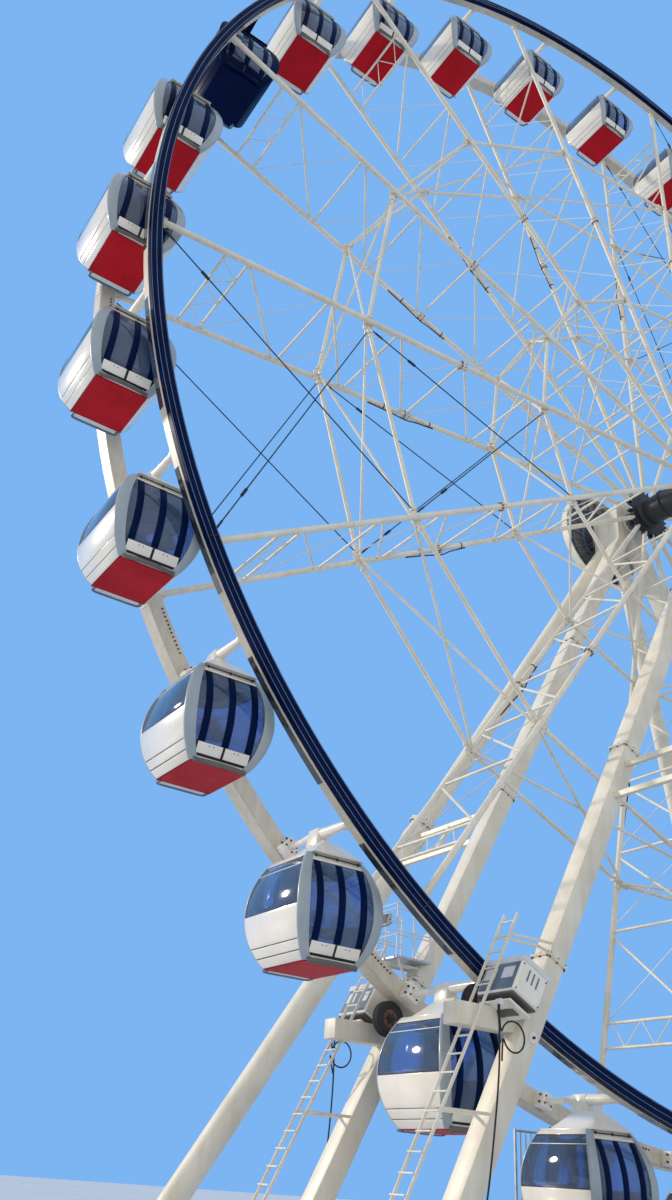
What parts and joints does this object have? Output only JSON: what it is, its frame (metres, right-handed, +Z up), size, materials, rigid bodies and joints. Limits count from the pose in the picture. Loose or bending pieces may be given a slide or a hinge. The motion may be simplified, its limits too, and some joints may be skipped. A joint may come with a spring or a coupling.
{
  "type": "ferris wheel",
  "caption": "Tall wheel with trussed spokes and level hanging cabins between two rims, held on two braced A-frames over a boarding deck.",
  "frame": {"origin": "on the ground under the hub, at the middle of the base", "axes": "+Z up, +Y along the axle from the lit near rim to the far rim, +X to the right of a viewer who looks along +Y"},
  "size_m": [38.3, 16.64, 39.44],
  "materials": {
    "cream_paint": "semi gloss",
    "cabin_lacquer": "gloss",
    "navy_paint": "gloss",
    "slate_paint": "satin",
    "grey_steel": "galvanized"
  },
  "bodies": {
    "structure": {"near_a_frame": "cream_paint", "far_a_frame": "cream_paint", "near_outriggers": "cream_paint", "far_outriggers": "cream_paint", "base_frame": "grey_steel", "boarding_deck": "grey_steel"},
    "wheel": {"hub": "slate_paint", "near_rim": "navy_paint", "far_rim": "cream_paint", "near_outer_ring": "cream_paint", "far_outer_ring": "cream_paint", "near_inner_ring": "cream_paint", "far_inner_ring": "cream_paint", "outer_cross_ties": "cream_paint", "inner_cross_ties": "cream_paint", "spoke_01": "cream_paint", "spoke_02": "cream_paint", "spoke_03": "cream_paint", "spoke_04": "cream_paint", "spoke_05": "cream_paint", "spoke_06": "cream_paint", "spoke_07": "cream_paint", "spoke_08": "cream_paint", "spoke_09": "cream_paint", "spoke_10": "cream_paint", "spoke_11": "cream_paint", "spoke_12": "cream_paint", "spoke_13": "cream_paint", "spoke_14": "cream_paint", "spoke_15": "cream_paint"},
    "cabin_01_body": {"cabin_01": "cabin_lacquer"},
    "cabin_02_body": {"cabin_02": "cabin_lacquer"},
    "cabin_03_body": {"cabin_03": "cabin_lacquer"},
    "cabin_04_body": {"cabin_04": "cabin_lacquer"},
    "cabin_05_body": {"cabin_05": "cabin_lacquer"},
    "cabin_06_body": {"cabin_06": "cabin_lacquer"},
    "cabin_07_body": {"cabin_07": "cabin_lacquer"},
    "cabin_08_body": {"cabin_08": "cabin_lacquer"},
    "cabin_09_body": {"cabin_09": "cabin_lacquer"},
    "cabin_10_body": {"cabin_10": "cabin_lacquer"},
    "cabin_11_body": {"cabin_11": "cabin_lacquer"},
    "cabin_12_body": {"cabin_12": "cabin_lacquer"},
    "cabin_13_body": {"cabin_13": "cabin_lacquer"},
    "cabin_14_body": {"cabin_14": "cabin_lacquer"},
    "cabin_15_body": {"cabin_15": "cabin_lacquer"},
    "cabin_16_body": {"cabin_16": "cabin_lacquer"},
    "cabin_17_body": {"cabin_17": "cabin_lacquer"},
    "cabin_18_body": {"cabin_18": "cabin_lacquer"},
    "cabin_19_body": {"cabin_19": "cabin_lacquer"},
    "cabin_20_body": {"cabin_20": "cabin_lacquer"},
    "cabin_21_body": {"cabin_21": "cabin_lacquer"},
    "cabin_22_body": {"cabin_22": "cabin_lacquer"},
    "cabin_23_body": {"cabin_23": "cabin_lacquer"},
    "cabin_24_body": {"cabin_24": "cabin_lacquer"},
    "cabin_25_body": {"cabin_25": "cabin_lacquer"},
    "cabin_26_body": {"cabin_26": "cabin_lacquer"},
    "cabin_27_body": {"cabin_27": "cabin_lacquer"},
    "cabin_28_body": {"cabin_28": "cabin_lacquer"},
    "cabin_29_body": {"cabin_29": "cabin_lacquer"},
    "cabin_30_body": {"cabin_30": "cabin_lacquer"}
  },
  "joints": [
    {"name": "wheel_spin", "type": "hinge", "parent": "structure", "child": "wheel", "pos_m": [0, 0, 21], "axis": [0, 1, 0], "continuous": true},
    {"name": "cabin_01_swing", "type": "hinge", "parent": "wheel", "child": "cabin_01_body", "pos_m": [-1.90869, 0, 2.84003], "axis": [0, 1, 0], "continuous": true},
    {"name": "cabin_02_swing", "type": "hinge", "parent": "wheel", "child": "cabin_02_body", "pos_m": [-5.64265, 0, 3.63371], "axis": [0, 1, 0], "continuous": true},
    {"name": "cabin_03_swing", "type": "hinge", "parent": "wheel", "child": "cabin_03_body", "pos_m": [-9.13, 0, 5.18638], "axis": [0, 1, 0], "continuous": true},
    {"name": "cabin_04_swing", "type": "hinge", "parent": "wheel", "child": "cabin_04_body", "pos_m": [-12.21832, 0, 7.43018], "axis": [0, 1, 0], "continuous": true},
    {"name": "cabin_05_swing", "type": "hinge", "parent": "wheel", "child": "cabin_05_body", "pos_m": [-14.77265, 0, 10.26704], "axis": [0, 1, 0], "continuous": true},
    {"name": "cabin_06_swing", "type": "hinge", "parent": "wheel", "child": "cabin_06_body", "pos_m": [-16.68134, 0, 13.57299], "axis": [0, 1, 0], "continuous": true},
    {"name": "cabin_07_swing", "type": "hinge", "parent": "wheel", "child": "cabin_07_body", "pos_m": [-17.86098, 0, 17.20353], "axis": [0, 1, 0], "continuous": true},
    {"name": "cabin_08_swing", "type": "hinge", "parent": "wheel", "child": "cabin_08_body", "pos_m": [-18.26, 0, 21], "axis": [0, 1, 0], "continuous": true},
    {"name": "cabin_09_swing", "type": "hinge", "parent": "wheel", "child": "cabin_09_body", "pos_m": [-17.86098, 0, 24.79647], "axis": [0, 1, 0], "continuous": true},
    {"name": "cabin_10_swing", "type": "hinge", "parent": "wheel", "child": "cabin_10_body", "pos_m": [-16.68134, 0, 28.42701], "axis": [0, 1, 0], "continuous": true},
    {"name": "cabin_11_swing", "type": "hinge", "parent": "wheel", "child": "cabin_11_body", "pos_m": [-14.77265, 0, 31.73296], "axis": [0, 1, 0], "continuous": true},
    {"name": "cabin_12_swing", "type": "hinge", "parent": "wheel", "child": "cabin_12_body", "pos_m": [-12.21832, 0, 34.56982], "axis": [0, 1, 0], "continuous": true},
    {"name": "cabin_13_swing", "type": "hinge", "parent": "wheel", "child": "cabin_13_body", "pos_m": [-9.13, 0, 36.81362], "axis": [0, 1, 0], "continuous": true},
    {"name": "cabin_14_swing", "type": "hinge", "parent": "wheel", "child": "cabin_14_body", "pos_m": [-5.64265, 0, 38.36629], "axis": [0, 1, 0], "continuous": true},
    {"name": "cabin_15_swing", "type": "hinge", "parent": "wheel", "child": "cabin_15_body", "pos_m": [-1.90869, 0, 39.15997], "axis": [0, 1, 0], "continuous": true},
    {"name": "cabin_16_swing", "type": "hinge", "parent": "wheel", "child": "cabin_16_body", "pos_m": [1.90869, 0, 39.15997], "axis": [0, 1, 0], "continuous": true},
    {"name": "cabin_17_swing", "type": "hinge", "parent": "wheel", "child": "cabin_17_body", "pos_m": [5.64265, 0, 38.36629], "axis": [0, 1, 0], "continuous": true},
    {"name": "cabin_18_swing", "type": "hinge", "parent": "wheel", "child": "cabin_18_body", "pos_m": [9.13, 0, 36.81362], "axis": [0, 1, 0], "continuous": true},
    {"name": "cabin_19_swing", "type": "hinge", "parent": "wheel", "child": "cabin_19_body", "pos_m": [12.21832, 0, 34.56982], "axis": [0, 1, 0], "continuous": true},
    {"name": "cabin_20_swing", "type": "hinge", "parent": "wheel", "child": "cabin_20_body", "pos_m": [14.77265, 0, 31.73296], "axis": [0, 1, 0], "continuous": true},
    {"name": "cabin_21_swing", "type": "hinge", "parent": "wheel", "child": "cabin_21_body", "pos_m": [16.68134, 0, 28.42701], "axis": [0, 1, 0], "continuous": true},
    {"name": "cabin_22_swing", "type": "hinge", "parent": "wheel", "child": "cabin_22_body", "pos_m": [17.86098, 0, 24.79647], "axis": [0, 1, 0], "continuous": true},
    {"name": "cabin_23_swing", "type": "hinge", "parent": "wheel", "child": "cabin_23_body", "pos_m": [18.26, 0, 21], "axis": [0, 1, 0], "continuous": true},
    {"name": "cabin_24_swing", "type": "hinge", "parent": "wheel", "child": "cabin_24_body", "pos_m": [17.86098, 0, 17.20353], "axis": [0, 1, 0], "continuous": true},
    {"name": "cabin_25_swing", "type": "hinge", "parent": "wheel", "child": "cabin_25_body", "pos_m": [16.68134, 0, 13.57299], "axis": [0, 1, 0], "continuous": true},
    {"name": "cabin_26_swing", "type": "hinge", "parent": "wheel", "child": "cabin_26_body", "pos_m": [14.77265, 0, 10.26704], "axis": [0, 1, 0], "continuous": true},
    {"name": "cabin_27_swing", "type": "hinge", "parent": "wheel", "child": "cabin_27_body", "pos_m": [12.21832, 0, 7.43018], "axis": [0, 1, 0], "continuous": true},
    {"name": "cabin_28_swing", "type": "hinge", "parent": "wheel", "child": "cabin_28_body", "pos_m": [9.13, 0, 5.18638], "axis": [0, 1, 0], "continuous": true},
    {"name": "cabin_29_swing", "type": "hinge", "parent": "wheel", "child": "cabin_29_body", "pos_m": [5.64265, 0, 3.63371], "axis": [0, 1, 0], "continuous": true},
    {"name": "cabin_30_swing", "type": "hinge", "parent": "wheel", "child": "cabin_30_body", "pos_m": [1.90869, 0, 2.84003], "axis": [0, 1, 0], "continuous": true}
  ],
  "couplings": [
    {"joint": "cabin_01_swing", "follows": "wheel_spin", "ratio": -1},
    {"joint": "cabin_02_swing", "follows": "wheel_spin", "ratio": -1},
    {"joint": "cabin_03_swing", "follows": "wheel_spin", "ratio": -1},
    {"joint": "cabin_04_swing", "follows": "wheel_spin", "ratio": -1},
    {"joint": "cabin_05_swing", "follows": "wheel_spin", "ratio": -1},
    {"joint": "cabin_06_swing", "follows": "wheel_spin", "ratio": -1},
    {"joint": "cabin_07_swing", "follows": "wheel_spin", "ratio": -1},
    {"joint": "cabin_08_swing", "follows": "wheel_spin", "ratio": -1},
    {"joint": "cabin_09_swing", "follows": "wheel_spin", "ratio": -1},
    {"joint": "cabin_10_swing", "follows": "wheel_spin", "ratio": -1},
    {"joint": "cabin_11_swing", "follows": "wheel_spin", "ratio": -1},
    {"joint": "cabin_12_swing", "follows": "wheel_spin", "ratio": -1},
    {"joint": "cabin_13_swing", "follows": "wheel_spin", "ratio": -1},
    {"joint": "cabin_14_swing", "follows": "wheel_spin", "ratio": -1},
    {"joint": "cabin_15_swing", "follows": "wheel_spin", "ratio": -1},
    {"joint": "cabin_16_swing", "follows": "wheel_spin", "ratio": -1},
    {"joint": "cabin_17_swing", "follows": "wheel_spin", "ratio": -1},
    {"joint": "cabin_18_swing", "follows": "wheel_spin", "ratio": -1},
    {"joint": "cabin_19_swing", "follows": "wheel_spin", "ratio": -1},
    {"joint": "cabin_20_swing", "follows": "wheel_spin", "ratio": -1},
    {"joint": "cabin_21_swing", "follows": "wheel_spin", "ratio": -1},
    {"joint": "cabin_22_swing", "follows": "wheel_spin", "ratio": -1},
    {"joint": "cabin_23_swing", "follows": "wheel_spin", "ratio": -1},
    {"joint": "cabin_24_swing", "follows": "wheel_spin", "ratio": -1},
    {"joint": "cabin_25_swing", "follows": "wheel_spin", "ratio": -1},
    {"joint": "cabin_26_swing", "follows": "wheel_spin", "ratio": -1},
    {"joint": "cabin_27_swing", "follows": "wheel_spin", "ratio": -1},
    {"joint": "cabin_28_swing", "follows": "wheel_spin", "ratio": -1},
    {"joint": "cabin_29_swing", "follows": "wheel_spin", "ratio": -1},
    {"joint": "cabin_30_swing", "follows": "wheel_spin", "ratio": -1}
  ]
}
